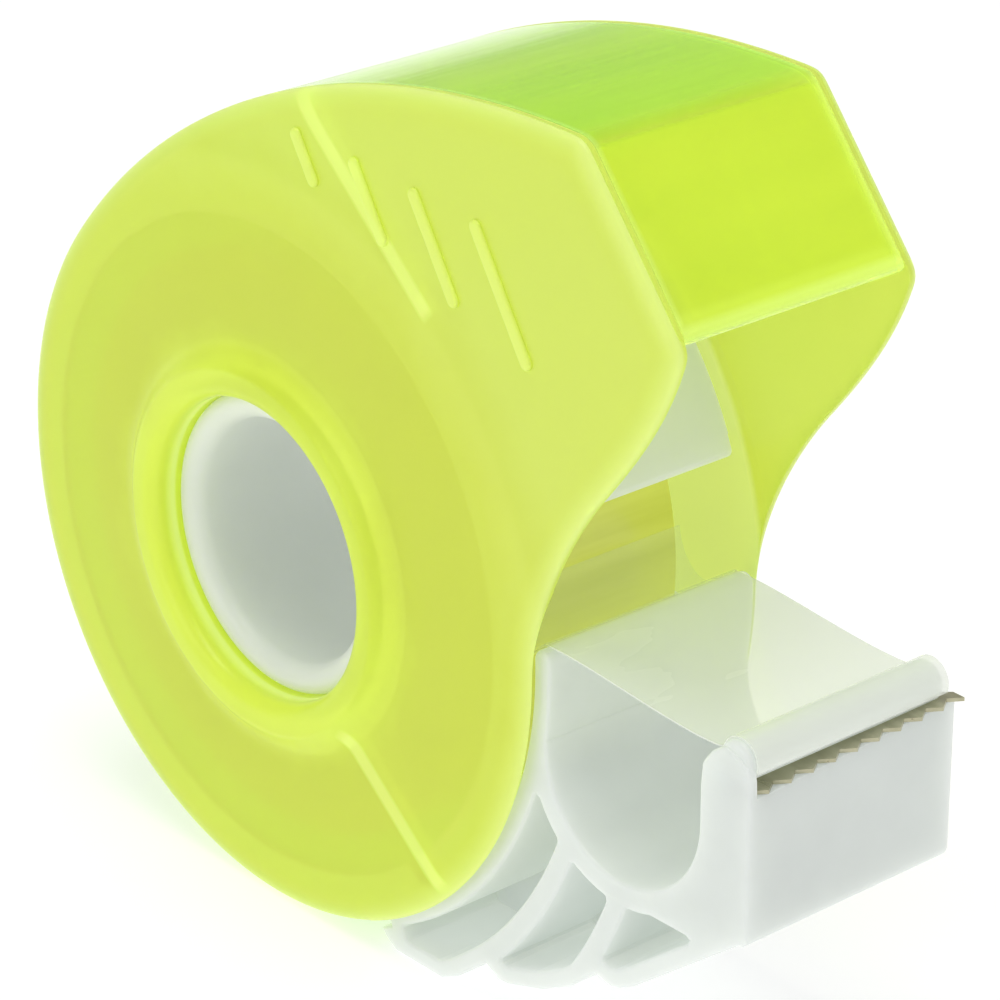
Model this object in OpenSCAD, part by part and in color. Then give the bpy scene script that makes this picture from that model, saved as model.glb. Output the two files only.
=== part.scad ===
// Hand-held tape dispenser. A translucent cover of two side shells and a clear
// perimeter band swings about a hub tube. The tube is fixed to a white moulding that
// carries the tape tray, the finger valley, the lip bar and the cutter blade.
// Units are millimetres. The origin is the hub axis at the mid-plane, +Y runs along
// the axis, +X points to the nose and +Z is up. The cover is drawn swung open.

/* [Tape roll] */
// Width of the tape
tape_w = 19; // [12:0.5:25]
// Outside diameter of the wound tape
roll_d = 47.2; // [35:0.1:50]
// Bore of the tape core
core_bore_d = 25.4; // [25:0.1:26]
// Wall of the tape core
core_wall = 1.5; // [1:0.1:3]
// Thickness of one layer of tape
film_t = 0.12; // [0.05:0.01:0.3]

/* [Hub] */
// Outside diameter of the hub tube
hub_d = 24.4; // [23:0.1:25]
// Bore of the hub tube
hub_bore_d = 19.8; // [16:0.1:21]
// Radial clearance of each cover neck on the hub tube
neck_clearance = 0.06; // [0.02:0.01:0.1]

/* [Cover] */
// Radius of the round part of the cover
drum_r = 30.3; // [28:0.1:32]
// Outside width of the cover
cover_w = 24.14; // [23:0.02:26]
// Wall of each side shell
side_wall = 1.4; // [1:0.1:2]
// Wall of the perimeter band
band_wall = 1.3; // [1:0.1:2]
// Rim rounding measured in the plane of the side
rim_in = 2.4; // [1:0.1:3]
// Rim rounding measured across the width
rim_deep = 1; // [0.5:0.1:1.4]

/* [Base] */
// Width of the base moulding
base_w = 20.6; // [18:0.1:21]
// Outer radius of the tape tray
tray_r = 31.15; // [30:0.05:32]
// Wall of the tape tray
tray_wall = 1.7; // [1.2:0.1:2]
// Wall of the two curved fins
fin_wall = 1.85; // [1.2:0.05:2.5]
// Radius of the finger valley
valley_r = 8; // [6:0.1:9]
// Wall under the finger valley
valley_wall = 2; // [1.2:0.1:3]
// Distance of the front face from the hub axis
front_x = 51.8; // [48:0.1:54]

/* [Cutter] */
// Number of teeth on the blade
blade_teeth = 9; // [5:1:24]
// Depth of each tooth
tooth_depth = 0.75; // [0.4:0.05:1.2]
// Thickness of the blade
blade_t = 0.3; // [0.2:0.05:0.5]
// Sideways tilt of the blade in degrees
blade_tilt = 3.1; // [0:0.1:5]
// Turn of the blade seen from above in degrees
blade_turn = 1.9; // [0:0.1:4]

/* [View] */
// Sub-part to show

/* [Hidden] */
fine = 96;
steps = 14;
eps = 0.02;
hub_r = hub_d / 2;
bore_r = hub_bore_d / 2;
neck_r = hub_r + neck_clearance;
roll_r = roll_d / 2;
core_in = core_bore_d / 2;
core_out = core_in + core_wall;
half_tape = tape_w / 2;
half_w = cover_w / 2;
half_base = base_w / 2;
inner_y = half_w - side_wall;
seam_y = half_w - rim_deep;
band_y = seam_y - 0.52;
dish_y = inner_y + 0.5;
tray_in = tray_r - tray_wall;
valley_c = [front_x - 13, -5.3];
heel_z = -drum_r;
// Angles about the hub, measured from +X towards +Z
band_end_a = -67.5;
heel_a = -65.5;
lip_a = 34;
guide_a = 2.2;
guard_a0 = 21;
guard_a1 = 60;
rib_w = 1.7;
// Hub tube ends and neck ends, measured from the mid-plane
tube_near = 10.9;
tube_far = 11.8;
neck_near = half_tape + 0.25;
neck_far = half_base + 0.15;
arm_t = 0.65;
// Lip bar, its stem and the sloping shelf that the blade lies on
bar_r = 1.6;
bar_c = [front_x - 1.8, 0.85];
bar_end = 9.3;
stem_back = bar_c[0] - bar_r;
stem_front = bar_c[0] + 0.3;
stem_end = 8.4;
undercut_z = -0.45;
shelf_z = -0.95;
shelf_top = 0.4;
shelf_low = -2.2;
cheek_y = -9.6;
blade_back = front_x - 2.6;
blade_root = front_x - 0.4;

function cubic(a, b, c, d, t) = pow(1 - t, 3) * a + 3 * t * pow(1 - t, 2) * b
    + 3 * t * t * (1 - t) * c + pow(t, 3) * d;
function bezier(a, b, c, d, n) = [for (i = [0 : n]) cubic(a, b, c, d, i / n)];
function arc(c, r, a0, a1, n) =
    [for (i = [0 : n]) c + r * [cos(a0 + (a1 - a0) * i / n), sin(a0 + (a1 - a0) * i / n)]];
function polar(r, a) = [r * cos(a), r * sin(a)];
function along(p, i) = p[min(i + 1, len(p) - 1)] - p[max(i - 1, 0)];
function left_of(p, i) = [-along(p, i)[1], along(p, i)[0]] / norm(along(p, i));

// Side view of the cover, anticlockwise from the mouth
nose_top = [34.6, 42.5];
cover_line = concat(
    bezier([drum_r, 0], [drum_r + 0.1, 6.2], [34.3, 12.8], [37.6, 16.8], steps),
    bezier([37.6, 16.8], [40.5, 20.3], [43.5, 24.3], [44.95, 28.6], steps),
    [[45.2, 29.3], [45.25, 29.75], [45.1, 30.3], [44.75, 30.85]],
    [[35.7, 42.0], [35.25, 42.36]],
    bezier(nose_top, [10, 43.6], [-11, 34], polar(drum_r, 140), 2 * steps),
    arc([0, 0], drum_r, 145, 355, 60));

// Draws a side-view outline as a slab between two positions along the axis
module slab(y0, y1) {
    translate([0, y1, 0])
        rotate([90, 0, 0])
            linear_extrude(height = y1 - y0)
                children();
}

// Turns a profile of radius and axial position about the hub axis
module turned() {
    rotate([-90, 0, 0])
        rotate_extrude($fn = fine)
            children();
}

module wedge(a0, a1, r) {
    polygon(concat([[0, 0]], arc([0, 0], r, a0, a1, 12)));
}

module ring(r0, r1) {
    difference() {
        circle(r = r1, $fn = 2 * fine);
        circle(r = r0, $fn = 2 * fine);
    }
}

// Strip of the side view that the perimeter band fills
module band_outline() {
    difference() {
        polygon(cover_line);
        offset(delta = -band_wall)
            polygon(cover_line);
        wedge(band_end_a, lip_a, 80);
    }
}

module bar_between(a, b, w) {
    hull() {
        translate(a)
            circle(d = w, $fn = 32);
        translate(b)
            circle(d = w, $fn = 32);
    }
}

// Plain raised grip bars on the outside of a side shell
module grip_bars() {
    down = [0.53, -0.85];
    for (i = [0 : 3])
        translate([5.2 + 6.6 * i, 35.6 - 0.5 * i])
            rotate(atan2(down[1], down[0]))
                translate([0, -0.55])
                    square([4.6 + 2.2 * i, 1.1]);
}

// One side shell, drawn on the +Y side. neck_y is where its hub neck ends inside.
module side_shell(neck_y) {
    layers = 5;
    difference() {
        union() {
            for (k = [0 : layers - 1]) {
                d = (k + 0.5) / layers;
                slab(seam_y + rim_deep * (1 - (k + 1) / layers), half_w - rim_deep * k / layers)
                    offset(delta = -rim_in * (1 - sqrt(1 - pow(1 - d, 2))))
                        polygon(cover_line);
            }
            slab(inner_y, seam_y + eps)
                polygon(cover_line);
            slab(half_w - eps, half_w + 0.35)
                grip_bars();
        }
        turned()
            polygon([[0, 0], [32.6, 0], [32.6, inner_y], [30.6, dish_y], [0, dish_y]]);
        turned()
            square([17, half_w + 1]);
    }
    // Skirt that meets the edge of the perimeter band
    slab(band_y, dish_y + eps)
        band_outline();
    difference() {
        slab(inner_y - 0.9, inner_y + eps)
            bar_between([7.6, 36.8], [18.6, 25.7], rib_w);
        turned()
            square([tray_r + 0.35, half_w]);
    }
    hub_neck(neck_y);
}

// Rolled lip that turns the shell in towards the hub tube
module hub_neck(neck_y) {
    roll_in = 1.3;
    base_y = half_w + 0.13;
    crest = [neck_r + roll_in, half_w + 1.33];
    outer_r = 13.7;
    foot_r = 17.3;
    turned()
        polygon(concat(
            [[neck_r, neck_y]],
            [for (i = [0 : 8]) [crest[0] - roll_in * cos(90 * i / 8),
                base_y + (crest[1] - base_y) * sin(90 * i / 8)]],
            bezier(crest + [0.85, 0], crest + [1.6, 0], [15.5, half_w + 0.1], [foot_r, half_w], 8),
            [[foot_r, dish_y], [outer_r, dish_y], [outer_r, neck_y]]));
}

module near_side_shell() {
    boss_y = half_tape + 0.45;
    color([0.86, 0.95, 0.3, 0.7])
        mirror([0, 1, 0]) {
            side_shell(neck_near);
            // Raised ring and rib that keep the roll off the wall
            turned()
                translate([16.5, boss_y])
                    square([10, dish_y + eps - boss_y]);
            slab(neck_near, dish_y + eps)
                bar_between([9.2, -14], [18.4, -21], rib_w);
        }
}

module far_side_shell() {
    color([0.86, 0.95, 0.3, 0.7])
        side_shell(neck_far);
}

module clear_band() {
    color([0.7, 0.92, 0.25, 0.6])
        slab(-band_y, band_y)
            band_outline();
}

module hub_tube() {
    lip_out = 0.8;
    lip_in = 1.5;
    mid = bore_r + lip_in;
    color([0.94, 0.95, 0.93])
        turned()
            polygon(concat(
                [[hub_r, -tube_near + lip_out], [hub_r, tube_far - lip_out]],
                arc([hub_r - lip_out, tube_far - lip_out], lip_out, 0, 90, 6),
                arc([mid, tube_far - lip_in], lip_in, 90, 180, 8),
                arc([mid, lip_in - tube_near], lip_in, 180, 270, 8),
                arc([hub_r - lip_out, lip_out - tube_near], lip_out, 270, 360, 6)));
}

// Outer boundary of the base below the tape, including the three stepped feet
base_line = concat(
    [polar(tray_r, heel_a), [11.7, -28.9], [12.3, -29.6], [13.4, heel_z], [18.8, heel_z], [20.8, -29.3],
     [24, -26.7], [25.6, -27.5], [26.6, -27.4], [30.3, -26.2], [33.6, -24.4], [36.2, -22.1],
     [38, -22.5], [38.9, -22.2], [40.3, -21.4], [front_x - 1, -13.4]],
    arc([front_x - 1, -12.4], 1, 300, 360, 4),
    [[front_x, shelf_top], [valley_c[0] + valley_r, shelf_top]],
    arc(valley_c, valley_r, 360, 180, 24),
    arc([0, 0], tray_r, -9.5, 0, 4),
    [[tray_in, 0]],
    arc([0, 0], tray_in, -4, heel_a, 40));

module pocket(r0, r1, right, top) {
    round_r = 0.3;
    offset(r = round_r)
        offset(delta = -round_r)
            difference() {
                intersection() {
                    offset(delta = -1.45)
                        polygon(base_line);
                    ring(r0, r1);
                    translate([0, top - 50])
                        square([right, 50]);
                }
                translate(valley_c)
                    circle(r = valley_r + valley_wall, $fn = fine);
            }
}

// Skeleton of the base: tray, valley wall, fins, feet and nose wall
module base_ribs() {
    fin_1 = [tray_r + 3.3, tray_r + 3.3 + fin_wall];
    fin_2 = [fin_1[1] + 4.1, fin_1[1] + 4.1 + fin_wall];
    difference() {
        union() {
            polygon(base_line);
            translate(polar(tray_r - tray_wall / 2, guide_a))
                circle(d = tray_wall, $fn = 32);
            intersection() {
                ring(tray_in, tray_r);
                wedge(-4, guide_a, 60);
            }
        }
        pocket(tray_r, fin_1[0], 60, 0);
        pocket(fin_1[1], fin_2[0], 60, 0);
        pocket(fin_2[1], 70, front_x - 5.6, -14.8);
    }
}

module arm_plate() {
    difference() {
        union() {
            circle(r = hub_r + 3.2, $fn = fine);
            difference() {
                union() {
                    wedge(heel_a, -6, tray_in + 0.5);
                    wedge(guard_a0 + 3, guard_a1, tray_in + 1.2);
                }
                circle(r = hub_r, $fn = fine);
            }
        }
        circle(r = hub_r + 0.02, $fn = fine);
    }
}

// Bar that the tape lies over, its undercut stem and the near cheek it grows from
module lip_bar() {
    foot_w = 0.55;
    web_t = 0.9;
    slab(cheek_y - eps, bar_end)
        translate(bar_c)
            circle(r = bar_r, $fn = 48);
    slab(cheek_y - eps, stem_end) {
        translate([stem_back, undercut_z])
            square([stem_front - stem_back, bar_c[1] - undercut_z]);
        translate([stem_back, shelf_low])
            square([web_t, bar_c[1] - shelf_low]);
    }
    slab(stem_end - eps, stem_end + foot_w)
        translate([stem_back, shelf_low])
            square([stem_front - stem_back, undercut_z - 0.4 - shelf_low]);
    slab(-half_base, cheek_y)
        cheek_outline();
}

module cheek_outline() {
    valley_x = valley_c[0] + valley_r;
    offset(r = 0.35)
        offset(delta = -0.35)
            polygon([[valley_x - 0.1, shelf_low - 0.7], [valley_x + 0.16, -0.23],
                     [valley_x + 1.1, 1], [stem_back + 0.77, 1.84], [bar_c[0] + 0.26, 1.5],
                     [front_x - 0.25, 0.8], [front_x, 0.1], [front_x, shelf_low - 0.7]]);
}

// Frame of the blade: its underside lies on the sloping shelf
module blade_place() {
    translate([blade_root, 0, shelf_z])
        rotate([blade_tilt, 0, -blade_turn])
            translate([-blade_root, 0, 0])
                children();
}

module base_moulding() {
    web_half = 0.8;
    slot_gap = 0.04;
    color([0.93, 0.95, 0.92])
        difference() {
            union() {
                difference() {
                    union() {
                        slab(-half_base, half_base)
                            base_ribs();
                        slab(-web_half, web_half)
                            polygon(base_line);
                    }
                    blade_place()
                        translate([valley_c[0] + valley_r - 4, -2 * half_base, -slot_gap])
                            cube([20, 4 * half_base, 10]);
                }
                slab(half_base - arm_t, half_base)
                    arm_plate();
                slab(-half_tape + 0.1, half_base - 0.4)
                    intersection() {
                        ring(tray_r - 1.15, tray_r - 0.05);
                        wedge(guard_a0, guard_a1, 60);
                    }
                lip_bar();
            }
            blade_place()
                translate([blade_back - slot_gap, cheek_y, -slot_gap])
                    cube([10, 24, blade_t + 2 * slot_gap]);
        }
}

module cutter_blade() {
    y0 = cheek_y + 0.05;
    y1 = half_base + 0.15;
    root = blade_root;
    pitch = (y1 - y0) / (blade_teeth + 0.5);
    color([0.55, 0.56, 0.5])
        blade_place()
            linear_extrude(height = blade_t)
                polygon(concat(
                    [[root - 0.4, y1], [blade_back, y1 - root + blade_back], [blade_back, y0]],
                    [for (i = [0 : blade_teeth - 1]) each
                        [[root, y0 + i * pitch], [root + tooth_depth, y0 + (i + 0.5) * pitch]]],
                    [[root, y1 - pitch / 2], [root + tooth_depth, y1]]));
}

module tape_core() {
    color([0.8, 0.7, 0.5])
        turned()
            translate([core_in, -half_tape])
                square([core_wall, tape_w]);
}

module tape_winding() {
    color([0.85, 0.85, 0.6, 0.8])
        turned()
            translate([core_out, -half_tape])
                square([roll_r - core_out, tape_w]);
}

// Underside of the tape from the roll, over the guide edge to the front of the lip bar
leave_a = 9;
leave_p = polar(roll_r + 0.35, leave_a);
guide_p = [29.6, 2.04];
web_line = concat(
    bezier(leave_p, leave_p + [0.45, -3.35], [27, -1.6], guide_p, 16),
    bezier(guide_p + [0.9, 0.16], [35, 2.4], [44, 0.5], bar_c + (bar_r + eps) * [cos(172), sin(172)], 16),
    arc(bar_c, bar_r + eps, 165, -20, 20));

module tape_web() {
    top = [for (i = [len(web_line) - 1 : -1 : 0]) web_line[i] + film_t * left_of(web_line, i)];
    color([0.9, 0.92, 0.85, 0.5])
        slab(-half_tape, half_tape)
            polygon(concat(web_line, top));
}

base_moulding();
hub_tube();
cutter_blade();
near_side_shell();
clear_band();
far_side_shell();
tape_core();
tape_winding();
tape_web();
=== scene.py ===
"""Looks for the tape dispenser: smooth rebuilt mouldings, procedural plastics, tape and steel."""
import math

import bmesh
import bpy
import numpy as np
from mathutils import Matrix, Vector


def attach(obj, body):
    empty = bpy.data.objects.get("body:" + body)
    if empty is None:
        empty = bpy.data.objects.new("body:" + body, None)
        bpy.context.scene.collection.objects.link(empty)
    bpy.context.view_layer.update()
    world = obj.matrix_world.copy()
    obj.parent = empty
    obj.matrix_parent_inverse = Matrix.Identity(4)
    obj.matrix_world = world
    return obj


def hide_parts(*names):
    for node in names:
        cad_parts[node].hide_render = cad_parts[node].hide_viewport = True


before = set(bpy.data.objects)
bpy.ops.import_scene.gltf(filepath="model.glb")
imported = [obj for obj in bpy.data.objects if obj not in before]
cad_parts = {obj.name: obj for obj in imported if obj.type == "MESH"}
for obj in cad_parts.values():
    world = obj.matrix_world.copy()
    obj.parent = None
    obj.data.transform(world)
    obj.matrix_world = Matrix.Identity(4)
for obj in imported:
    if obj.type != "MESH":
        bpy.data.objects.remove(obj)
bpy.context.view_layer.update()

MM = 0.001

# Sizes in millimetres and angles in degrees, as in the solid model
SUNK = 0.3
HALF_W = 12.07
RIM_IN = 2.4
RIM_DEEP = 1.0
SEAM_Y = HALF_W - RIM_DEEP
INNER_Y = HALF_W - 1.4
DISH_Y = INNER_Y + 0.5
BAND_Y = SEAM_Y - 0.52
DRUM_R = 30.3
BAND_WALL = 1.3
BAND_GAP = 0.012
BAND_SLACK = 0.01
BAND_EDGE_R = 0.06
BAND_END_ROUND = 0.45
HUB_R = 12.2
BORE_R = 9.9
NECK_R = HUB_R + 0.06
NECK_OUT = 13.7
LIP_ROLL = 1.3
LIP_RISE = 1.32
BROW_R = 17.3
DISH_R = (30.6, 32.6)
SKIN = 0.004
GROOVE = 0.12
RIB_W = 1.7
GRIP_BARS = 4
GRIP_W = 1.1
GRIP_PROUD = 0.33
HALF_TAPE = 9.5
HALF_BASE = 10.3
NECK_NEAR = HALF_TAPE + 0.25
NECK_FAR = HALF_BASE + 0.15
TUBE_NEAR = 10.9
TUBE_FAR = 11.8
ROLL_R = 23.6
CORE_IN = 12.7
CORE_OUT = 14.2
CHAMFER = 0.15
TRAY_R = 31.15
TRAY_IN = TRAY_R - 1.7
FRONT_X = 51.8
VALLEY = (FRONT_X - 13, -5.3)
VALLEY_R = 8.0
HEEL_Z = -DRUM_R
HEEL_A = -65.5
BAND_END_A = -67.5
LIP_A = 34.5
GUARD_A = (21.0, 60.0)
GUIDE_A = 2.2
BAR = (FRONT_X - 1.8, 0.85)
BAR_R = 1.6
BAR_END = 9.3
STEM_BACK = BAR[0] - BAR_R
STEM_FRONT = BAR[0] + 0.3
STEM_END = 8.4
UNDERCUT_Z = -0.45
SHELF_Z = -0.95
SHELF_LOW = -2.2
CHEEK_Y = -9.6
BLADE_BACK = FRONT_X - 2.6
BLADE_ROOT = FRONT_X - 0.4
BLADE_T = 0.3
BLADE_TILT = 3.1
BLADE_TURN = 1.9
CUT_GAP = 0.04
ARM_Y = HALF_BASE - 0.65
SMALLEST_POCKET = 3
FILM_T = 0.12
LEAVE_A = 9


# ---------------------------------------------------------------- plane curves
def bezier(a, b, c, d, n):
    t = np.linspace(0, 1, n + 1)[:, None]
    a, b, c, d = (np.array(p, float) for p in (a, b, c, d))
    return (1 - t) ** 3 * a + 3 * t * (1 - t) ** 2 * b + 3 * t * t * (1 - t) * c + t ** 3 * d


def arc(c, r, a0, a1, n):
    t = np.radians(np.linspace(a0, a1, n + 1))
    return np.array(c, float) + r * np.stack([np.cos(t), np.sin(t)], 1)


def polar(r, a):
    return np.array([r * math.cos(math.radians(a)), r * math.sin(math.radians(a))])


def even(points, step, closed=True):
    """The line walked again in equal steps."""
    p = np.vstack([points, points[:1]]) if closed else np.array(points)
    s = np.concatenate([[0], np.cumsum(np.linalg.norm(np.diff(p, axis=0), axis=1))])
    n = int(round(s[-1] / step))
    t = np.linspace(0, s[-1], n + 1)
    if closed:
        t = t[:-1]
    return np.stack([np.interp(t, s, p[:, 0]), np.interp(t, s, p[:, 1])], 1)


def softened(p, rounds):
    for _ in range(rounds):
        p = 0.5 * p + 0.25 * (np.roll(p, 1, 0) + np.roll(p, -1, 0))
    return p


def cover_line():
    """Side view of the cover, anticlockwise from the mouth, in millimetres."""
    line = np.vstack([
        bezier([DRUM_R, 0], [DRUM_R + 0.1, 6.2], [34.3, 12.8], [37.6, 16.8], 40)[:-1],
        bezier([37.6, 16.8], [40.5, 20.3], [43.5, 24.3], [44.95, 28.6], 40),
        [[45.2, 29.3], [45.25, 29.75], [45.1, 30.3], [44.75, 30.85]],
        [[35.7, 42.0], [35.25, 42.36]],
        bezier([34.6, 42.5], [10, 43.6], [-11, 34], polar(DRUM_R, 140), 90),
        arc([0, 0], DRUM_R, 141, 359.5, 240),
    ])
    return softened(even(line, 0.22), 5)[::2]


# ---------------------------------------------------------------- mesh helpers
def mesh_object(name, verts, faces):
    mesh = bpy.data.meshes.new(name)
    mesh.from_pydata([tuple(v) for v in verts], [], faces)
    obj = bpy.data.objects.new(name, mesh)
    bpy.context.scene.collection.objects.link(obj)
    return obj


def cleaned(obj, sharp=35.0, merge=1e-7):
    """Merges doubles, turns faces outwards and marks edges sharper than an angle."""
    bm = bmesh.new()
    bm.from_mesh(obj.data)
    bmesh.ops.remove_doubles(bm, verts=bm.verts, dist=merge)
    bmesh.ops.dissolve_degenerate(bm, edges=bm.edges, dist=merge)
    bmesh.ops.recalc_face_normals(bm, faces=bm.faces)
    for f in bm.faces:
        f.smooth = True
    limit = math.radians(sharp)
    for e in bm.edges:
        e.smooth = len(e.link_faces) == 2 and e.calc_face_angle(0) < limit
    bm.to_mesh(obj.data)
    bm.free()
    obj.data.update()
    return obj


def applied(obj):
    """Replaces the object's mesh by what its modifiers make of it."""
    deps = bpy.context.evaluated_depsgraph_get()
    mesh = bpy.data.meshes.new_from_object(obj.evaluated_get(deps))
    obj.modifiers.clear()
    obj.data = mesh
    return obj


def joined(obj, tool, operation="UNION"):
    mod = obj.modifiers.new("cut", "BOOLEAN")
    mod.operation = operation
    mod.solver = "EXACT"
    mod.object = tool
    applied(obj)
    bpy.data.objects.remove(tool)
    return obj


def closed(obj):
    """Fills the open ends of a mesh and turns its faces outwards."""
    bm = bmesh.new()
    bm.from_mesh(obj.data)
    bmesh.ops.holes_fill(bm, edges=[e for e in bm.edges if e.is_boundary], sides=0)
    bmesh.ops.recalc_face_normals(bm, faces=bm.faces)
    bm.to_mesh(obj.data)
    bm.free()
    return obj


def even_normals(obj):
    mod = obj.modifiers.new("normals", "WEIGHTED_NORMAL")
    mod.mode = "FACE_AREA"
    mod.weight = 50
    mod.keep_sharp = True
    return obj


def grid(name, loops, closed_loops=True, closed_columns=True):
    """A mesh from loops of points: loops is an array [loop, column, xyz] in millimetres."""
    a = np.array(loops, float) * MM
    m, n = a.shape[:2]
    faces = []
    for i in range(m if closed_loops else m - 1):
        for j in range(n if closed_columns else n - 1):
            i2, j2 = (i + 1) % m, (j + 1) % n
            faces.append((i * n + j, i * n + j2, i2 * n + j2, i2 * n + j))
    return mesh_object(name, a.reshape(-1, 3), faces)


def turned(name, profile, segments=160, closed=True):
    """A profile of (radius, axial place) turned about the hub axis."""
    t = np.linspace(0, 2 * math.pi, segments, endpoint=False)
    loops = [[(r * math.cos(a), y, r * math.sin(a)) for a in t] for r, y in profile]
    return grid(name, loops, closed_loops=closed)


def moulded(name, loops, y0, y1, bevel, segments=3):
    """A side-view outline with holes, as a plate between y0 and y1 with rounded edges."""
    curve = bpy.data.curves.new(name, "CURVE")
    curve.dimensions = "2D"
    curve.fill_mode = "BOTH"
    for loop in loops:
        spline = curve.splines.new("POLY")
        spline.points.add(len(loop) - 1)
        for point, (x, z) in zip(spline.points, loop):
            point.co = (x * MM, z * MM, 0, 1)
        spline.use_cyclic_u = True
    curve.extrude = ((y1 - y0) / 2 - bevel) * MM
    curve.bevel_depth = bevel * MM
    curve.bevel_resolution = segments
    curve.offset = -bevel * MM
    holder = bpy.data.objects.new(name, curve)
    bpy.context.scene.collection.objects.link(holder)
    deps = bpy.context.evaluated_depsgraph_get()
    mesh = bpy.data.meshes.new_from_object(holder.evaluated_get(deps))
    bpy.data.objects.remove(holder)
    mesh.transform(Matrix.Translation((0, (y0 + y1) / 2 * MM, 0)) @ Matrix.Rotation(math.pi / 2, 4, "X"))
    obj = bpy.data.objects.new(name, mesh)
    bpy.context.scene.collection.objects.link(obj)
    return cleaned(obj, merge=2e-6)


def capsule(a, b, w, n=16):
    """Outline of a round-ended bar between two points."""
    a, b = np.array(a, float), np.array(b, float)
    t = math.degrees(math.atan2(*(b - a)[::-1]))
    return np.vstack([arc(b, w / 2, t - 90, t + 90, n), arc(a, w / 2, t + 90, t + 270, n)])


# ---------------------------------------------------------------- cover shells
LINE = cover_line()
SPOKE = -LINE / np.linalg.norm(LINE, axis=1)[:, None]
ANGLE = np.degrees(np.arctan2(LINE[:, 1], LINE[:, 0]))


def depth_in(p):
    """Distance of points inside the cover's side view from its outline."""
    a, d = LINE, np.roll(LINE, -1, 0) - LINE
    q = p[:, None, :] - a
    s = np.clip((q * d).sum(2) / (d * d).sum(1), 0, 1)
    return np.linalg.norm(q - s[..., None] * d, axis=2).min(1)


def inset(depth):
    """The loop that lies a given depth inside the outline, one point for each spoke."""
    depth = np.broadcast_to(depth, len(LINE)).astype(float)
    low, high = np.zeros(len(LINE)), np.full(len(LINE), 6.0) * np.maximum(depth, 0.05)
    for _ in range(24):
        mid = (low + high) / 2
        deep = depth_in(LINE + SPOKE * mid[:, None]) >= depth
        high = np.where(deep, mid, high)
        low = np.where(deep, low, mid)
    return LINE + SPOKE * ((low + high) / 2)[:, None]


def with_y(loop, y):
    y = np.broadcast_to(y, len(loop))
    return np.stack([loop[:, 0], y, loop[:, 1]], 1)


def inner_place(loop):
    """Place along the axis of the side's inner face, which is dished over the roll."""
    r = np.linalg.norm(loop, axis=1)
    return np.interp(r, DISH_R, [DISH_Y, INNER_Y])


def circle_loop(r):
    return -SPOKE * r


def has_band(a):
    """1 where the perimeter band runs, 0 along the open mouth."""
    return np.where((a > LIP_A) | (a < BAND_END_A), 1.0, 0.0)


def side_shell(name, side, neck_y):
    """One side: rolled neck lip, flat face, rounded rim, seam groove, skirt and the inside."""
    banded = has_band(ANGLE)
    base_y = HALF_W + 0.13
    crest = (NECK_R + LIP_ROLL, HALF_W + LIP_RISE)
    flare = [(crest[0] - LIP_ROLL * math.cos(t), base_y + (crest[1] - base_y) * math.sin(t))
             for t in np.linspace(0, math.pi / 2, 12)]
    brow = bezier((crest[0] + 0.85, crest[1]), (crest[0] + 1.6, crest[1]), (15.5, HALF_W + 0.1),
                  (BROW_R, HALF_W), 14)
    loops = [with_y(circle_loop(NECK_R), y) for y in (neck_y, (neck_y + HALF_W) / 2)]
    loops += [with_y(circle_loop(r), y) for r, y in flare]
    loops += [with_y(circle_loop(r), y) for r, y in brow]
    flat_in, flat_out = circle_loop(BROW_R + 0.2), inset(RIM_IN + 0.15)
    for t in np.linspace(0, 1, 12):
        loops.append(with_y(flat_in + (flat_out - flat_in) * t, HALF_W))
    low = np.where(banded > 0, BAND_Y, inner_place(LINE))
    for t in np.linspace(math.pi / 2, 0, 11):
        depth = max(RIM_IN * (1 - math.cos(t)), SKIN)
        loops.append(with_y(inset(depth), np.maximum(SEAM_Y + RIM_DEEP * math.sin(t), low + 0.08)))
    for depth, y in ((GROOVE, SEAM_Y - 0.03), (GROOVE, SEAM_Y - 0.08), (SKIN, SEAM_Y - 0.12)):
        loops.append(with_y(inset(SKIN + depth * banded), np.where(banded > 0, y, low + 0.07)))
    loops.append(with_y(inset(SKIN), low + 0.05))
    loops.append(with_y(inset(0.05), low))
    ledge = inset(banded * (BAND_WALL - 0.2) + 0.2)
    loops.append(with_y(ledge, low))
    loops.append(with_y(ledge, inner_place(ledge)))
    out_r = np.linalg.norm(ledge, axis=1) - 0.1
    outer_radii = (np.inf, 41, 36, DISH_R[1] + 0.1, DISH_R[1] - 0.1, DISH_R[0] + 0.1, DISH_R[0] - 0.1)
    stops = [np.minimum(out_r - 0.002 * i, r) for i, r in enumerate(outer_radii)]
    stops += [np.minimum(stops[-1] - 0.01, r) for r in (27.5, 24.5, 21.5, 19, 17)]
    for r in stops:
        loop = -SPOKE * r[:, None]
        loops.append(with_y(loop, inner_place(loop)))
    neck = ((NECK_OUT + 0.1, DISH_Y), (NECK_OUT, DISH_Y - 0.1),
            (NECK_OUT, neck_y + 0.1), (NECK_OUT - 0.1, neck_y))
    loops += [with_y(circle_loop(r), y) for r, y in neck]
    loops.append(with_y(circle_loop(NECK_R + 0.1), neck_y))
    a = np.array(loops)
    a[:, :, 1] *= side
    return cleaned(grid(name, a), sharp=40)


def rib(name, a, b, y0, y1, side):
    """A round-ended rib between two points of the side view, on one side."""
    lo, hi = sorted((side * y0, side * y1))
    return moulded(name, [capsule(a, b, RIB_W)], lo, hi, 0.12, 2)


def grip_bars(side):
    """Plain slanted bars that stand proud of the outside."""
    made = []
    down = np.array([0.529, -0.849])
    lo, hi = sorted((side * (HALF_W - 0.5), side * (HALF_W + GRIP_PROUD)))
    for i in range(GRIP_BARS):
        a = np.array([5.2 + 6.6 * i, 35.6 - 0.5 * i]) + down * GRIP_W / 2
        b = a + down * (3.5 + 2.2 * i)
        made.append(moulded("bar", [capsule(a, b, GRIP_W)], lo, hi, 0.25, 3))
    return made


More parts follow.
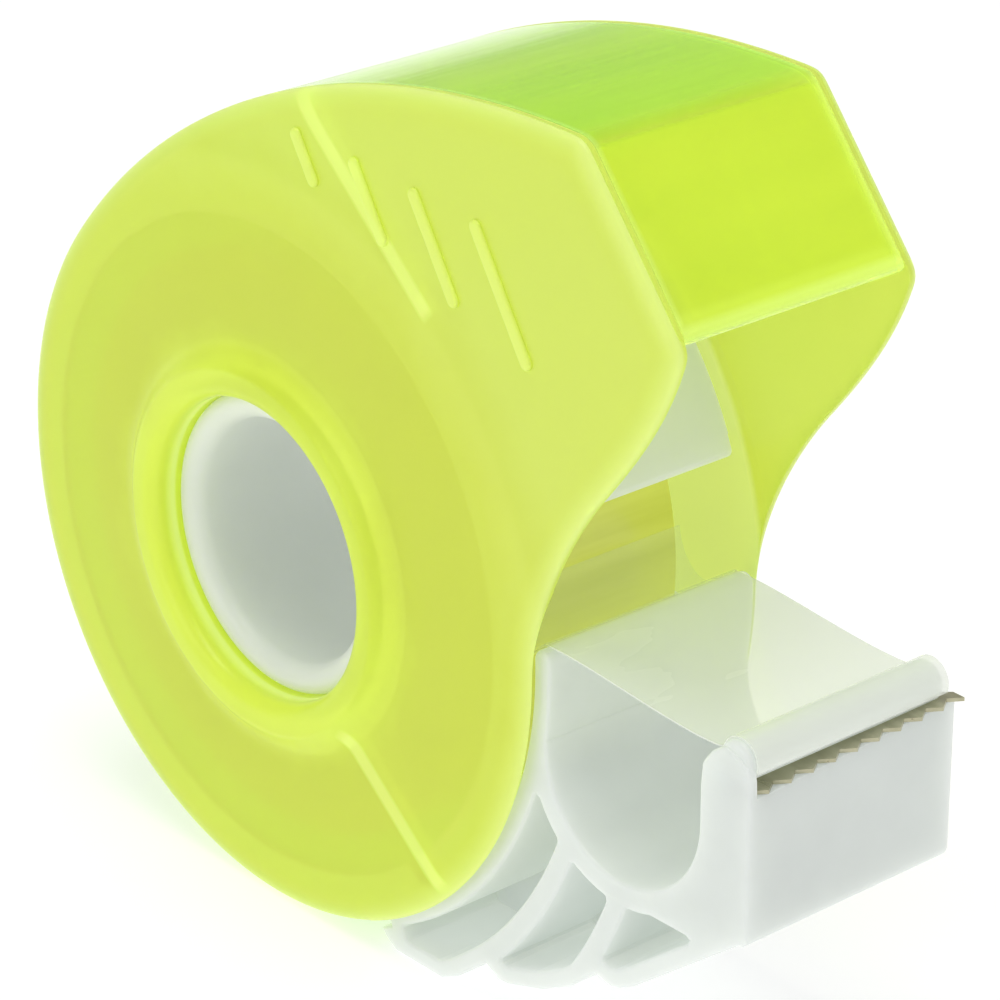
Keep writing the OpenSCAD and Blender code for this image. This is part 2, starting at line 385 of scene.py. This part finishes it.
near = side_shell("near_cover_side", -1, NECK_NEAR)
far = side_shell("far_cover_side", 1, NECK_FAR)

boss_in, boss_out, boss_low, boss_high = 16.5, 26.5, -HALF_TAPE - 0.45, -DISH_Y - SUNK
ring = turned("ring", [(boss_in, boss_low), (boss_out, boss_low),
                       (boss_out, boss_high), (boss_in, boss_high)])
joined(near, cleaned(ring))
joined(near, rib("rib", (9.2, -14), (18.4, -21), NECK_NEAR, DISH_Y + SUNK, -1))
for shell, side in ((near, -1), (far, 1)):
    joined(shell, rib("rib", (7.6, 36.8), (17.6, 26.9), INNER_Y - 0.9, INNER_Y + SUNK, side))
    for bar in grip_bars(side):
        joined(shell, bar)
    cleaned(shell, sharp=38)


def clear_band(name):
    """The band between the sides: a strip with rounded ends and edges."""
    keep = np.where(has_band(ANGLE) > 0)[0]
    order = np.array(sorted(keep, key=lambda i: (ANGLE[i] - LIP_A) % 360))
    outer, inner = inset(BAND_GAP)[order], inset(BAND_WALL)[order]
    mid = (outer + inner) / 2
    last = len(order) - 1
    b = BAND_EDGE_R
    side_y, deep = BAND_Y - BAND_SLACK - b, BAND_WALL - b
    cross = []
    for cy, cd, a0 in ((side_y, b, 0), (-side_y, b, 90), (-side_y, deep, 180), (side_y, deep, 270)):
        for t in np.radians(np.linspace(a0, a0 + 90, 4)):
            cross.append((cy + b * math.cos(t), cd - b * math.sin(t)))

    def section(i, squeeze=1.0, push=0.0):
        """The strip's section at one point, squeezed to its middle and pushed along the strip."""
        through = inner[i] - outer[i]
        return [(*(outer[i] + through * (0.5 + (d / BAND_WALL - 0.5) * squeeze) + push), y)
                for y, d in cross]

    ends = []
    for end, inwards in ((0, 1), (last, -1)):
        along = mid[end] - mid[end + inwards]
        along /= np.linalg.norm(along)
        reach = along * BAND_END_ROUND * BAND_WALL
        ends.append([section(end, math.cos(t), reach * math.sin(t)) for t in np.radians((30, 60, 80))])
    loops = ends[0][::-1] + [section(i) for i in range(last + 1)] + ends[1]
    a = np.array(loops)[:, :, [0, 2, 1]]
    return cleaned(closed(grid(name, a, closed_loops=False)), sharp=50)


band = clear_band("cover_band")


# ---------------------------------------------------------------- hub and roll
def hub():
    """The hub tube, with its rolled ends."""
    lip_out, lip_in = 0.8, 1.5
    mid = BORE_R + lip_in
    profile = np.vstack([
        arc([HUB_R - lip_out, TUBE_FAR - lip_out], lip_out, 0, 90, 6),
        arc([mid, TUBE_FAR - lip_in], lip_in, 90, 180, 14),
        arc([mid, lip_in - TUBE_NEAR], lip_in, 180, 270, 14),
        arc([HUB_R - lip_out, lip_out - TUBE_NEAR], lip_out, 270, 360, 6),
    ])
    return cleaned(turned("hub_sleeve", profile, 192), sharp=60)


hub_piece = hub()


def roll():
    """Wound tape with slightly uneven layers on its two sides."""
    rng = np.random.default_rng(7)
    layers = 46
    radii = np.linspace(CORE_OUT, ROLL_R - CHAMFER, layers)
    uneven = rng.uniform(-0.05, 0.0, layers)
    far_side = [(r, HALF_TAPE + u) for r, u in zip(radii, uneven)]
    near_side = [(r, -HALF_TAPE - u) for r, u in zip(radii[::-1], uneven)]
    profile = far_side + [(ROLL_R, HALF_TAPE - CHAMFER), (ROLL_R, -HALF_TAPE + CHAMFER)] + near_side
    return cleaned(turned("wound_tape", profile, 224), sharp=50)


def core():
    outside = CORE_OUT - 0.02
    return cleaned(turned("core_tube", [
        (CORE_IN + CHAMFER, -HALF_TAPE), (outside, -HALF_TAPE), (outside, HALF_TAPE),
        (CORE_IN + CHAMFER, HALF_TAPE), (CORE_IN, HALF_TAPE - CHAMFER), (CORE_IN, -HALF_TAPE + CHAMFER),
    ]), sharp=30)


roll_piece = roll()
core_piece = core()


# ---------------------------------------------------------------- base
def rounded(points, r, n=5):
    """The open line with each inner corner turned into a short curve."""
    p = np.array(points, float)
    out = [p[:1]]
    for before, at, after in zip(p[:-2], p[1:-1], p[2:]):
        a, b = before - at, after - at
        la, lb = np.linalg.norm(a), np.linalg.norm(b)
        out.append(bezier(at + a / la * min(r, la * 0.45), at, at, at + b / lb * min(r, lb * 0.45), n))
    return np.vstack(out + [p[-1:]])


def base_line():
    """Side view of the base, anticlockwise from the heel of the tray, in millimetres."""
    c = VALLEY
    return np.vstack([
        [polar(TRAY_R, HEEL_A)],
        [[11.7, -28.9], [12.3, -29.6], [13.4, HEEL_Z], [18.8, HEEL_Z], [20.8, -29.3], [24, -26.7],
         [25.6, -27.5], [26.6, -27.4], [30.3, -26.2], [33.6, -24.4], [36.2, -22.1], [38, -22.5],
         [38.9, -22.2], [40.3, -21.4], [FRONT_X - 1, -13.4]],
        arc([FRONT_X - 1, -12.4], 1, 300, 360, 6),
        rounded([[FRONT_X, -3], [FRONT_X, 0.1], [FRONT_X - 0.25, 0.8], [BAR[0] + 0.26, 1.5],
                 [STEM_BACK + 0.77, 1.84], [c[0] + VALLEY_R + 1.1, 1.0], [c[0] + VALLEY_R + 0.16, -0.23],
                 [c[0] + VALLEY_R, -2]], 0.5),
        arc(c, VALLEY_R, 360, 180, 72),
        arc([0, 0], TRAY_R, -9.5, GUIDE_A, 16),
        arc(polar(TRAY_R - 0.85, GUIDE_A), 0.85, GUIDE_A, GUIDE_A + 180, 12),
        arc([0, 0], TRAY_IN, GUIDE_A, HEEL_A, 90),
    ])


def side_loops(node, y, grow=1e-5):
    """Closed outlines of a node's flat side at one place along the axis, in millimetres."""
    bm = bmesh.new()
    bm.from_mesh(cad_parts[node].data)
    bmesh.ops.remove_doubles(bm, verts=bm.verts, dist=1e-6)
    flat = [f for f in bm.faces if all(abs(v.co.y - y * MM) < grow for v in f.verts)]
    inside = set(flat)
    rim = {}
    for f in flat:
        for loop in f.loops:
            others = [g for g in loop.edge.link_faces if g is not f and g in inside]
            if not others:
                rim[loop.vert.index] = loop.link_loop_next.vert.index
    places = {v.index: (v.co.x / MM, v.co.z / MM) for v in bm.verts}
    bm.free()
    out = []
    while rim:
        first = next(iter(rim))
        walk, at = [], first
        while at in rim:
            walk.append(places[at])
            at = rim.pop(at)
        out.append(np.array(walk))
    return out


def area(p):
    x, z = p[:, 0], p[:, 1]
    return 0.5 * float((x * np.roll(z, -1) - z * np.roll(x, -1)).sum())


sides = sorted(side_loops("base_moulding", -HALF_BASE), key=lambda p: -abs(area(p)))
pockets = [p for p in sides[1:] if abs(area(p)) > SMALLEST_POCKET]

base = moulded("base_body", [base_line()] + pockets, -HALF_BASE, HALF_BASE, 0.3, 3)
web = moulded("web", [base_line()], -0.8, 0.8, 0.05, 1)
joined(base, web)

TILT = (Matrix.Translation((BLADE_ROOT * MM, 0, SHELF_Z * MM))
        @ Matrix.Rotation(math.radians(BLADE_TILT), 4, "X"))
TURN = Matrix.Rotation(math.radians(-BLADE_TURN), 4, "Z")


def block(lo, hi, turn=Matrix.Identity(4)):
    """A cutting block in the tilted frame of the shelf, or of the blade when turned."""
    (x0, y0, z0), (x1, y1, z1) = lo, hi
    loops = [[(x, y0, z0), (x, y1, z0), (x, y1, z1), (x, y0, z1)] for x in (x0, x1)]
    tool = closed(grid("block", loops, closed_loops=False))
    tool.data.transform(TILT @ turn @ Matrix.Translation((-BLADE_ROOT * MM, 0, 0)))
    return tool


joined(base, block((VALLEY[0] + VALLEY_R - 4, CHEEK_Y, -CUT_GAP), (VALLEY[0] + 30, 2 * HALF_BASE, 10)),
       "DIFFERENCE")

arm_in, arm_out = HUB_R + 0.02, HUB_R + 3.2
arm_ring = cleaned(turned("arm_ring", [(arm_in, ARM_Y), (arm_out, ARM_Y), (arm_out, HALF_BASE),
                                       (arm_in, HALF_BASE)]))


def wedge(r0, r1, a0, a1):
    """Outline of a ring's stretch between two angles."""
    return np.vstack([arc([0, 0], r1, a0, a1, 40), arc([0, 0], r0, a1, a0, 40)])


def guard_line(r0, r1):
    """The curved guard over the roll, with a round lower edge."""
    low, high = GUARD_A[0] + 1, GUARD_A[1]
    return np.vstack([
        arc([0, 0], r1, low, high, 48),
        arc([0, 0], r0, high, low, 48),
        arc(polar((r0 + r1) / 2, low), (r1 - r0) / 2, GUARD_A[0] + 195, GUARD_A[0] + 345, 8),
    ])


lower_arm = moulded("arm", [wedge(HUB_R + 1.5, TRAY_IN + 0.5, HEEL_A, -6)], ARM_Y, HALF_BASE, 0.1, 2)
upper_arm = moulded("arm", [wedge(HUB_R + 1.5, TRAY_IN + 1.2, GUARD_A[0] + 3, GUARD_A[1])],
                    ARM_Y, HALF_BASE, 0.1, 2)
guard = moulded("guard", [guard_line(TRAY_R - 1.15, TRAY_R - 0.05)],
                -HALF_TAPE + 0.1, HALF_BASE - 0.4, 0.2, 3)
for part in (arm_ring, lower_arm, upper_arm, guard):
    joined(base, part)


def plank(x0, x1, z0, z1, y0, y1, bevel):
    """A box with rounded edges."""
    return moulded("plank", [np.array([[x0, z0], [x1, z0], [x1, z1], [x0, z1]])], y0, y1, bevel, 2)


bar_piece = moulded("bar", [arc(BAR, BAR_R, 0, 354, 59)], CHEEK_Y - 0.5, BAR_END, 0.5, 6)
for part in (plank(STEM_BACK, STEM_FRONT, UNDERCUT_Z, BAR[1], CHEEK_Y - 0.2, STEM_END, 0.08),
             plank(STEM_BACK, STEM_BACK + 0.9, SHELF_LOW, 0, CHEEK_Y - 0.2, STEM_END - 0.05, 0.05),
             plank(STEM_BACK + 0.02, STEM_FRONT - 0.03, SHELF_LOW, UNDERCUT_Z - 0.4, STEM_END - 0.3,
                   STEM_END + 0.55, 0.06),
             bar_piece):
    joined(base, part)
joined(base, block((BLADE_BACK - CUT_GAP, CHEEK_Y, -CUT_GAP),
                   (BLADE_BACK + 10, CHEEK_Y + 24, BLADE_T + CUT_GAP), TURN), "DIFFERENCE")
cleaned(base, sharp=34)


# ---------------------------------------------------------------- tape web
def film():
    """The free tape: off the roll, over the guide edge, across the valley and round the bar."""
    leave = polar(ROLL_R + 0.35, LEAVE_A)
    guide = np.array([29.6, 2.04])
    reach = BAR_R + 0.03
    line = np.vstack([
        bezier(leave, leave + [0.45, -3.35], [27, -1.6], guide, 40)[:-1],
        bezier(guide, [33.5, 2.5], [44, 0.5], np.array(BAR) + polar(reach, 170), 60)[:-1],
        arc(BAR, reach, 168, -20, 50),
    ])
    line = even(line, 0.25, closed=False)
    line[1:-1] = (line[:-2] + 2 * line[1:-1] + line[2:]) / 4
    step = np.gradient(line, axis=0)
    normal = np.stack([-step[:, 1], step[:, 0]], 1)
    normal /= np.linalg.norm(normal, axis=1)[:, None]
    across = np.linspace(-HALF_TAPE, HALF_TAPE, 25)
    upper = np.array([with_y(line + normal * FILM_T, y) for y in across])
    lower = np.array([with_y(line, y) for y in across])
    ring_loops = np.concatenate([upper, lower[::-1]], 0)
    strip = grid("tape_film", np.transpose(ring_loops, (1, 0, 2)), closed_loops=False)
    return cleaned(closed(strip), sharp=50)


film_piece = film()


# ---------------------------------------------------------------- materials
class Mat:
    """A Principled material with a few procedural helpers."""

    def __init__(self, name, **values):
        self.m = bpy.data.materials.new(name)
        self.m.use_nodes = True
        self.nt = self.m.node_tree
        self.nt.nodes.clear()
        self.out = self.nt.nodes.new("ShaderNodeOutputMaterial")
        self.p = self.nt.nodes.new("ShaderNodeBsdfPrincipled")
        self.link(self.p.outputs["BSDF"], self.out.inputs["Surface"])
        for key, value in values.items():
            self.p.inputs[key.replace("_", " ")].default_value = value

    def link(self, a, b):
        self.nt.links.new(a, b)

    def coords(self, scale=(1, 1, 1)):
        tc = self.nt.nodes.new("ShaderNodeTexCoord")
        mp = self.nt.nodes.new("ShaderNodeMapping")
        mp.inputs["Scale"].default_value = scale
        self.link(tc.outputs["Object"], mp.inputs["Vector"])
        return mp.outputs["Vector"]

    def place(self):
        """The object's own X, Y and Z, in metres."""
        xyz = self.nt.nodes.new("ShaderNodeSeparateXYZ")
        self.link(self.coords(), xyz.inputs["Vector"])
        return xyz.outputs

    def noise(self, scale, detail=3.0, rough=0.5, vector=None):
        n = self.nt.nodes.new("ShaderNodeTexNoise")
        n.inputs["Scale"].default_value = scale
        n.inputs["Detail"].default_value = detail
        n.inputs["Roughness"].default_value = rough
        self.link(vector or self.coords(), n.inputs["Vector"])
        return n.outputs["Fac"]

    def ramp(self, fac, stops):
        r = self.nt.nodes.new("ShaderNodeValToRGB")
        el = r.color_ramp.elements
        el[0].position, el[0].color = stops[0][0], (*stops[0][1], 1)
        el[1].position, el[1].color = stops[-1][0], (*stops[-1][1], 1)
        for pos, col in stops[1:-1]:
            e = el.new(pos)
            e.color = (*col, 1)
        self.link(fac, r.inputs["Fac"])
        return r.outputs["Color"]

    def span(self, fac, lo, hi, low=0.3, high=0.7):
        n = self.nt.nodes.new("ShaderNodeMapRange")
        n.inputs["From Min"].default_value = low
        n.inputs["From Max"].default_value = high
        n.inputs["To Min"].default_value = lo
        n.inputs["To Max"].default_value = hi
        self.link(fac, n.inputs["Value"])
        return n.outputs["Result"]

    def math(self, operation, a, b=None):
        n = self.nt.nodes.new("ShaderNodeMath")
        n.operation = operation
        self.link(a, n.inputs[0])
        if isinstance(b, (int, float)):
            n.inputs[1].default_value = b
        elif b:
            self.link(b, n.inputs[1])
        return n.outputs["Value"]

    def mixed(self, fac, a, color):
        """Socket a mixed towards one colour."""
        n = self.nt.nodes.new("ShaderNodeMix")
        n.data_type = "RGBA"
        self.link(fac, n.inputs[0])
        self.link(a, n.inputs[6])
        n.inputs[7].default_value = (*color, 1)
        return n.outputs[2]

    def stroke(self, a, b, half):
        """1 near the line from a to b of the side view, on the near side, and 0 away from it."""
        tc = self.nt.nodes.new("ShaderNodeTexCoord")
        mp = self.nt.nodes.new("ShaderNodeMapping")
        mp.vector_type = "TEXTURE"
        turn = math.atan2(b[1] - a[1], b[0] - a[0])
        mp.inputs["Location"].default_value = (a[0] * MM, 0, a[1] * MM)
        mp.inputs["Rotation"].default_value = (0, -turn, 0)
        self.link(tc.outputs["Object"], mp.inputs["Vector"])
        xyz = self.nt.nodes.new("ShaderNodeSeparateXYZ")
        self.link(mp.outputs["Vector"], xyz.inputs["Vector"])
        length = math.dist(a, b) * MM
        off = self.math("ABSOLUTE", xyz.outputs["Z"])
        across = self.span(off, 1.0, 0.0, half * 0.6 * MM, half * 1.1 * MM)
        middle = self.math("ABSOLUTE", self.math("SUBTRACT", xyz.outputs["X"], length / 2))
        ends = self.span(middle, 1.0, 0.0, length / 2, length / 2 + half * MM)
        near = self.span(xyz.outputs["Y"], 1.0, 0.0, -1 * MM, 0.0)
        return self.math("MULTIPLY", self.math("MULTIPLY", across, ends), near)

    def bump(self, height, strength, distance, normal=None):
        b = self.nt.nodes.new("ShaderNodeBump")
        b.inputs["Strength"].default_value = strength
        b.inputs["Distance"].default_value = distance
        self.link(height, b.inputs["Height"])
        if normal:
            self.link(normal, b.inputs["Normal"])
        return b.outputs["Normal"]

    def to(self, name, socket):
        self.link(socket, self.p.inputs[name])


def neon_frosted():
    """Frosted fluorescent plastic with painted light: colour painted deeper where the roll lies behind
    the wall and palest at the rims and neck crests, a painted glow on the rims and grip bars, and pale
    painted strokes where the inner ribs show through.
    """
    m = Mat("neon_frosted", IOR=1.45, Transmission_Weight=0.5, Emission_Strength=1.0)
    cloud = m.noise(90, 4, 0.55)
    place = m.place()
    flat = m.nt.nodes.new("ShaderNodeCombineXYZ")
    m.link(place["X"], flat.inputs["X"])
    m.link(place["Z"], flat.inputs["Z"])
    radius = m.nt.nodes.new("ShaderNodeVectorMath")
    radius.operation = "LENGTH"
    m.link(flat.outputs["Vector"], radius.inputs[0])
    blur = m.math("ADD", radius.outputs["Value"], m.span(cloud, -1.5 * MM, 1.5 * MM))
    away = m.span(blur, 0.0, 1.0, 10 * MM, 40 * MM)
    # Pale painted strokes on the outer face where the inner ribs show through the wall: painted
    # highlights.
    lower_rib_light = m.stroke((10.4, -12.2), (20.6, -20.6), 0.8)
    upper_rib_light = m.stroke((5.4, 38.4), (19.6, 25.6), 0.8)
    rib = m.math("MAXIMUM", lower_rib_light, upper_rib_light)
    # Painted light in the colour, by distance from the hub: deeper over the roll, paler at the neck and
    # towards the rims.
    shade = m.ramp(away, [(0.12, (0.80, 0.92, 0.09)), (0.28, (0.70, 0.77, 0.07)),
                          (0.60, (0.71, 0.78, 0.07)), (0.85, (0.77, 0.86, 0.16))])
    m.to("Base Color", m.mixed(m.math("MULTIPLY", rib, 0.6), shade, (0.86, 0.98, 0.24)))
    grain = m.noise(2600, 2, 0.6)
    m.to("Normal", m.bump(grain, 0.25, 0.00006))
    m.to("Roughness", m.span(cloud, 0.30, 0.40))
    # Painted glow: low all over, brightest on the rounded rims, set by the place along the axis.
    side = m.span(m.math("ABSOLUTE", place["Y"]), 0.0, 1.0, 10 * MM, 13 * MM)
    glow = m.ramp(side, [(0.30, (0.10, 0.12, 0.02)), (0.38, (0.18, 0.21, 0.13)),
                         (0.46, (0.18, 0.21, 0.13)), (0.68, (0.06, 0.07, 0.003))])
    # Painted highlights on the grip bars and the rib strokes.
    bars = m.math("MULTIPLY", m.span(side, 0.0, 1.0, 0.71, 0.74), m.span(away, 0.0, 1.0, 0.34, 0.36))
    painted_highlights = m.math("MAXIMUM", m.math("MULTIPLY", rib, 0.7), m.math("MULTIPLY", bars, 0.8))
    m.to("Emission Color", m.mixed(painted_highlights, glow, (0.18, 0.21, 0.07)))
    return m.m


def neon_clear():
    """Clear glossy plastic with painted light: the roof painted greener and the facet yellower, and a
    painted glow that is brightest at its edges.
    """
    m = Mat("neon_clear", IOR=1.49, Transmission_Weight=0.75, Specular_IOR_Level=0.2,
            Emission_Strength=1.0)
    cloud = m.noise(60, 3, 0.5, m.coords((1, 0.2, 1)))
    place = m.place()
    # Painted light: the facet is painted yellower than the roof, by the place along X.
    facet = m.span(place["X"], 0.0, 1.0, 33.5 * MM, 35.5 * MM)
    roof = m.ramp(cloud, [(0.3, (0.56, 0.92, 0.03)), (0.7, (0.66, 0.95, 0.05))])
    m.to("Base Color", m.mixed(facet, roof, (0.84, 0.93, 0.12)))
    # Painted highlights: the lip and the side edges glow brighter.
    lip = m.math("MULTIPLY", m.span(place["X"], 0.0, 1.0, 41 * MM, 42 * MM),
                 m.span(place["Z"], 1.0, 0.0, 31.1 * MM, 31.6 * MM))
    sides = m.span(m.math("ABSOLUTE", place["Y"]), 0.0, 0.8, 10.0 * MM, 10.4 * MM)
    edge = m.math("MAXIMUM", lip, sides)
    wave = m.noise(150, 3, 0.55, m.coords((1, 0.12, 1)))
    m.to("Normal", m.bump(wave, 0.16, 0.0004))
    m.to("Roughness", m.span(cloud, 0.06, 0.16))
    # Low painted glow all over, wavy.
    glow = m.ramp(wave, [(0.35, (0.045, 0.075, 0.004)), (0.65, (0.075, 0.10, 0.008))])
    m.to("Emission Color", m.mixed(edge, glow, (0.13, 0.17, 0.09)))
    return m.m


def white_plastic(name, color, rough, glow=0.04):
    """Soft white moulding plastic, with a low painted glow, faintly green, that lifts its shade in place
    of the light that it passes.
    """
    m = Mat(name, IOR=1.46, Subsurface_Weight=0.7, Subsurface_Scale=0.006, Emission_Strength=1.0)
    m.p.inputs["Subsurface Radius"].default_value = (1.0, 1.0, 0.9)
    cloud = m.noise(140, 4, 0.55)
    dark = tuple(c * 0.97 for c in color)
    m.to("Base Color", m.ramp(cloud, [(0.3, dark), (0.7, color)]))
    m.to("Roughness", m.span(cloud, rough - 0.04, rough + 0.05))
    grain = m.noise(1500, 2, 0.5)
    m.to("Normal", m.bump(grain, 0.12, 0.00004))
    # Painted glow; its strength is the glow argument.
    bright = tuple(glow * c for c in (0.97, 1.08, 1.0))
    m.to("Emission Color", m.ramp(cloud, [(0.3, tuple(c * 0.9 for c in bright)), (0.7, bright)]))
    return m.m


def wound():
    """The wound tape, streaked along its layers."""
    m = Mat("wound_tape", IOR=1.5, Transmission_Weight=0.3)
    streak = m.noise(260, 4, 0.6, m.coords((1, 0.05, 1)))
    m.to("Base Color", m.ramp(streak, [(0.3, (0.62, 0.64, 0.16)), (0.7, (0.80, 0.82, 0.28))]))
    m.to("Roughness", m.span(streak, 0.14, 0.30))
    # Painted glow that lifts the roll, streaked like its colour.
    m.to("Emission Color", m.ramp(streak, [(0.3, (0.55, 0.60, 0.06)), (0.7, (0.70, 0.74, 0.12))]))
    m.p.inputs["Emission Strength"].default_value = 0.25
    m.to("Normal", m.bump(streak, 0.15, 0.0002))
    return m.m


def film_plastic():
    """Thin tape: nearly clear by the roll, milky where it lies over the valley (partly its matte back,
    partly a painted sheen for its reflection), with a low painted glow.
    """
    m = Mat("film", IOR=1.45, Coat_Weight=0.6, Coat_Roughness=0.16)
    cloud = m.noise(90, 4, 0.6, m.coords((1, 0.3, 1)))
    m.to("Base Color", m.ramp(cloud, [(0.3, (0.93, 0.94, 0.90)), (0.7, (0.95, 0.96, 0.93))]))
    m.to("Roughness", m.span(cloud, 0.22, 0.30))
    m.to("Normal", m.bump(cloud, 0.03, 0.0001))
    # Milky past the guide edge, by the place along X: partly the tape's matte back, partly painted
    # reflection. Then a low painted glow.
    milky_sheen = m.span(m.place()["X"], 0.1, 0.45, 29.3 * MM, 30.4 * MM)
    m.p.inputs["Emission Strength"].default_value = 0.12
    m.p.inputs["Emission Color"].default_value = (0.92, 1.0, 0.86, 1)
    clear = m.nt.nodes.new("ShaderNodeBsdfTransparent")
    clear.inputs["Color"].default_value = (0.97, 0.98, 0.96, 1)
    mix = m.nt.nodes.new("ShaderNodeMixShader")
    m.link(milky_sheen, mix.inputs["Fac"])
    m.link(clear.outputs["BSDF"], mix.inputs[1])
    m.link(m.p.outputs["BSDF"], mix.inputs[2])
    m.link(mix.outputs["Shader"], m.out.inputs["Surface"])
    return m.m


def steel():
    """Brushed blade steel with a warm tint."""
    m = Mat("blade_steel", Metallic=0.7)
    brushed = m.noise(900, 3, 0.6, m.coords((0.1, 1, 1)))
    m.to("Base Color", m.ramp(brushed, [(0.3, (0.42, 0.40, 0.26)), (0.7, (0.56, 0.54, 0.38))]))
    m.to("Roughness", m.span(brushed, 0.26, 0.40))
    m.to("Normal", m.bump(brushed, 0.1, 0.00005))
    return m.m


def dress(obj, material, body, nodes):
    """Gives a piece its material and its body, and hides the solids that it stands for."""
    obj.data.materials.clear()
    obj.data.materials.append(material)
    even_normals(obj)
    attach(obj, body)
    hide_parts(*nodes)


frosted = neon_frosted()
dress(near, frosted, "cover", ["near_side_shell"])
dress(far, frosted, "cover", ["far_side_shell"])
dress(band, neon_clear(), "cover", ["clear_band"])
# The base: grey colour under a strong painted glow, which lifts the shade in its pockets and evens out
# its light.
dress(base, white_plastic("base_white", (0.56, 0.58, 0.565), 0.38, 0.2), "base", ["base_moulding"])
dress(hub_piece, white_plastic("hub_white", (0.78, 0.82, 0.77), 0.34), "base", ["hub_tube"])
dress(roll_piece, wound(), "roll", ["tape_winding"])
dress(core_piece, white_plastic("core_white", (0.85, 0.85, 0.80), 0.5), "roll", ["tape_core"])
dress(film_piece, film_plastic(), "base", ["tape_web"])
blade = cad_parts["cutter_blade"]
blade.data.materials.clear()
blade.data.materials.append(steel())

# ---------------------------------------------------------------- stage, light and camera
FLOOR_HALF = 3
floor = mesh_object("floor", [(x * FLOOR_HALF, y * FLOOR_HALF, 0)
                              for x, y in ((-1, -1), (1, -1), (1, 1), (-1, 1))], [(0, 1, 2, 3)])
floor.location.z = (HEEL_Z - 0.1) * MM
fm = Mat("floor", Roughness=0.9)
fm.p.inputs["Base Color"].default_value = (0.6, 0.6, 0.6, 1)
fm.p.inputs["Emission Color"].default_value = (1, 1, 1, 1)
fm.p.inputs["Emission Strength"].default_value = 0.58
floor.data.materials.append(fm.m)

world = bpy.data.worlds.new("studio")
bpy.context.scene.world = world
world.use_nodes = True
back = world.node_tree.nodes["Background"]
back.inputs["Color"].default_value = (1, 1, 1, 1)
back.inputs["Strength"].default_value = 0.44


def area_light(name, place, target, size, power):
    light = bpy.data.lights.new(name, "AREA")
    light.shape = "RECTANGLE"
    light.size = light.size_y = size
    light.energy = power
    obj = bpy.data.objects.new(name, light)
    obj.location = place
    obj.rotation_euler = (Vector(target) - Vector(place)).to_track_quat("-Z", "Y").to_euler()
    bpy.context.scene.collection.objects.link(obj)


area_light("key", (0.05, -0.1, 0.9), (0.01, 0, 0), 0.5, 3.2)
area_light("fill", (0.0, -0.9, 0.3), (0.01, 0, 0), 0.6, 1.5)

CAMERA_PLACE = (0.23261, -0.19167, 0.13753)
CAMERA_ALONG = (-0.6845, 0.6002, -0.4139)
camera = bpy.data.cameras.new("camera")
camera.sensor_width = 36
camera.lens = 152.0
camera.clip_start = 0.01
cam = bpy.data.objects.new("camera", camera)
cam.location = CAMERA_PLACE
cam.rotation_euler = Vector(CAMERA_ALONG).to_track_quat("-Z", "Y").to_euler()
bpy.context.scene.collection.objects.link(cam)
bpy.context.scene.camera = cam
bpy.context.scene.view_settings.view_transform = "Standard"

bpy.context.view_layer.update()
